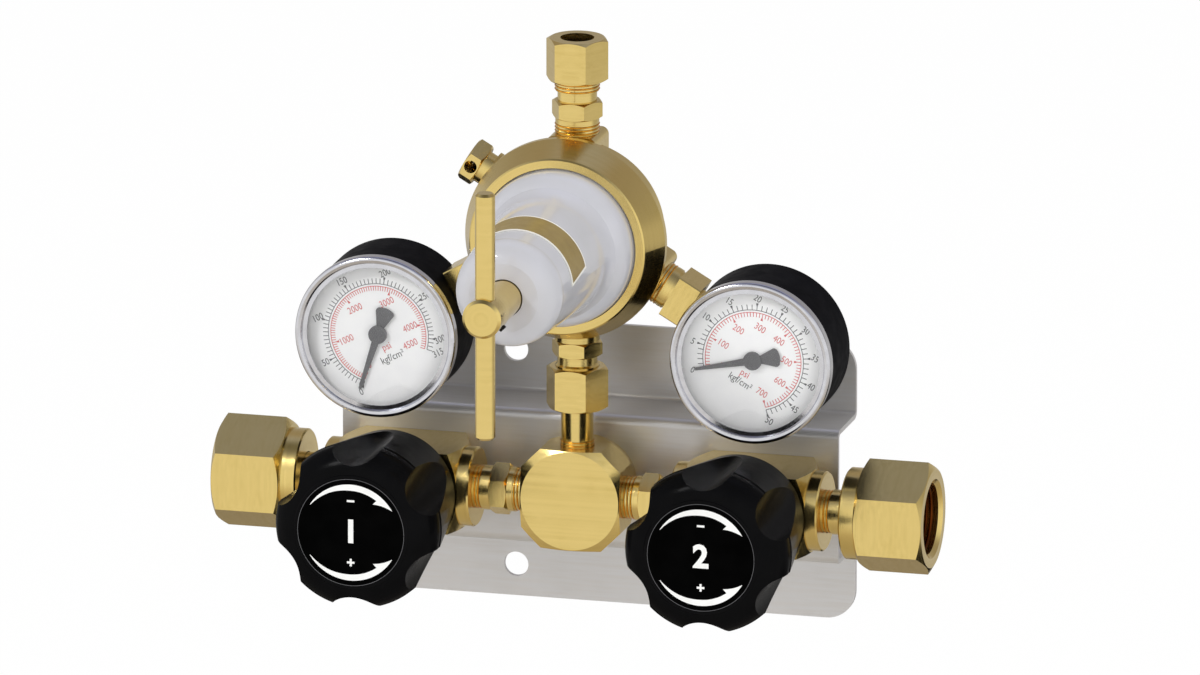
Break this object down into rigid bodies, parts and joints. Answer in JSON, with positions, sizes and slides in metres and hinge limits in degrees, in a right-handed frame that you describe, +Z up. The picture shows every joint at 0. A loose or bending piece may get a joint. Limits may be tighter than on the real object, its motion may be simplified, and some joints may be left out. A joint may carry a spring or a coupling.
{
  "type": "gas cylinder manifold",
  "caption": "Wall mounted brass gas manifold: two knob valves feed a tee block and a pressure regulator with side gauges, relief valve and top outlet.",
  "frame": {"origin": "centre of the four wall holes, on the bracket's back plane", "axes": "+X to the right seen from the front, +Y into the wall, +Z up"},
  "size_m": [0.292, 0.1949, 0.2449],
  "materials": {
    "brass": "machined bright brass",
    "band_foil": "brown gold foil",
    "bracket_steel": "satin grey coat",
    "diaphragm_rubber": "fabric backed rubber",
    "screw_steel": "zinc plated",
    "grub_steel": "black oxide",
    "bezel_chrome": "bright chrome",
    "case_paint": "black enamel",
    "dial_white": "white printed",
    "gauge_glass": "clear",
    "pointer_black": "black",
    "knob_plastic": "black moulded plastic",
    "knob_label_foil": "black printed label",
    "tube_bronze": "drawn bronze",
    "plug_plastic": "white seal plastic",
    "spring_steel": "drawn wire",
    "poppet_brass": "turned",
    "bonnet_paint": "pale grey gloss",
    "seat_steel": "zinc plated"
  },
  "bodies": {
    "manifold": {"bonnet_label": "band_foil", "bracket": "bracket_steel", "diaphragm": "diaphragm_rubber", "fixing_screws": "screw_steel", "left_centre_nipple": "brass", "left_gauge_bezel": "bezel_chrome", "left_gauge_case": "case_paint", "left_gauge_dial": "dial_white", "left_gauge_lens": "gauge_glass", "left_gauge_socket": "brass", "left_inlet_nipple": "brass", "left_pressure_tube": "tube_bronze", "left_valve_body": "brass", "left_valve_bonnet": "brass", "main_spring": "spring_steel", "nozzle": "brass", "outlet_ferrule": "brass", "outlet_fitting": "brass", "outlet_nut": "brass", "poppet_spring": "spring_steel", "regulator_body": "brass", "regulator_bonnet": "bonnet_paint", "regulator_inlet_fitting": "brass", "relief_plug": "brass", "relief_spring": "spring_steel", "relief_valve_body": "brass", "right_centre_nipple": "brass", "right_gauge_bezel": "bezel_chrome", "right_gauge_case": "case_paint", "right_gauge_dial": "dial_white", "right_gauge_lens": "gauge_glass", "right_gauge_socket": "brass", "right_inlet_nipple": "brass", "right_pressure_tube": "tube_bronze", "right_valve_body": "brass", "right_valve_bonnet": "brass", "riser_ferrule": "brass", "riser_nut": "brass", "riser_tube": "brass", "tee_block": "brass"},
    "left_valve_stem": {"left_valve_plug": "plug_plastic"},
    "left_handwheel": {"left_valve_spindle": "brass", "left_knob": "knob_plastic", "left_knob_label": "knob_label_foil"},
    "right_valve_stem": {"right_valve_plug": "plug_plastic"},
    "right_handwheel": {"right_valve_spindle": "brass", "right_knob": "knob_plastic", "right_knob_label": "knob_label_foil"},
    "spring_seat": {"upper_spring_seat": "seat_steel"},
    "adjusting_handle": {"adjusting_screw": "brass", "handle_bar": "brass", "handle_grub_screw": "grub_steel"},
    "regulating_stem": {"lower_spring_seat": "seat_steel", "poppet": "poppet_brass"},
    "relief_seal": {"relief_plunger": "brass"},
    "left_pointer": {"left_gauge_pointer": "pointer_black"},
    "right_pointer": {"right_gauge_pointer": "pointer_black"},
    "left_coupling_nut": {"left_inlet_nut": "brass"},
    "right_coupling_nut": {"right_inlet_nut": "brass"}
  },
  "joints": [
    {"name": "left_valve_lift", "type": "slide", "parent": "manifold", "child": "left_valve_stem", "axis": [0, -1, 0], "range_m": [0, 0.0045]},
    {"name": "left_knob_turn", "type": "hinge", "parent": "left_valve_stem", "child": "left_handwheel", "pos_m": [-0.0716, -0.1, 0], "axis": [0, -1, 0], "range_deg": [0, 1080]},
    {"name": "right_valve_lift", "type": "slide", "parent": "manifold", "child": "right_valve_stem", "axis": [0, -1, 0], "range_m": [0, 0.0045]},
    {"name": "right_knob_turn", "type": "hinge", "parent": "right_valve_stem", "child": "right_handwheel", "pos_m": [0.0716, -0.1, 0], "axis": [0, -1, 0], "range_deg": [0, 1080]},
    {"name": "spring_load", "type": "slide", "parent": "manifold", "child": "spring_seat", "axis": [0, 1, 0], "range_m": [0, 0.012], "deforming": ["main_spring"]},
    {"name": "handle_turn", "type": "hinge", "parent": "spring_seat", "child": "adjusting_handle", "pos_m": [0, -0.19, 0.1095], "axis": [0, 1, 0], "range_deg": [0, 2880]},
    {"name": "poppet_lift", "type": "slide", "parent": "manifold", "child": "regulating_stem", "axis": [0, 1, 0], "range_m": [0, 0.0008], "stiffness_N_per_m": 4000, "deforming": ["poppet_spring", "diaphragm"]},
    {"name": "relief_lift", "type": "slide", "parent": "manifold", "child": "relief_seal", "axis": [-0.866, 0, 0.5], "range_m": [0, 0.001], "stiffness_N_per_m": 2000, "deforming": ["relief_spring"]},
    {"name": "left_pointer_turn", "type": "hinge", "parent": "manifold", "child": "left_pointer", "pos_m": [-0.0769, -0.066, 0.0651], "axis": [0, 1, 0], "range_deg": [0, 270]},
    {"name": "right_pointer_turn", "type": "hinge", "parent": "manifold", "child": "right_pointer", "pos_m": [0.0769, -0.066, 0.0651], "axis": [0, 1, 0], "range_deg": [0, 270]},
    {"name": "left_nut_spin", "type": "hinge", "parent": "manifold", "child": "left_coupling_nut", "pos_m": [-0.13, -0.0493, 0], "axis": [-1, 0, 0], "continuous": true},
    {"name": "right_nut_spin", "type": "hinge", "parent": "manifold", "child": "right_coupling_nut", "pos_m": [0.13, -0.0493, 0], "axis": [1, 0, 0], "continuous": true}
  ],
  "couplings": [
    {"joint": "left_valve_lift", "follows": "left_knob_turn", "m_per_rad": 0.000238},
    {"joint": "right_valve_lift", "follows": "right_knob_turn", "m_per_rad": 0.000238},
    {"joint": "spring_load", "follows": "handle_turn", "m_per_rad": 0.000238}
  ]
}
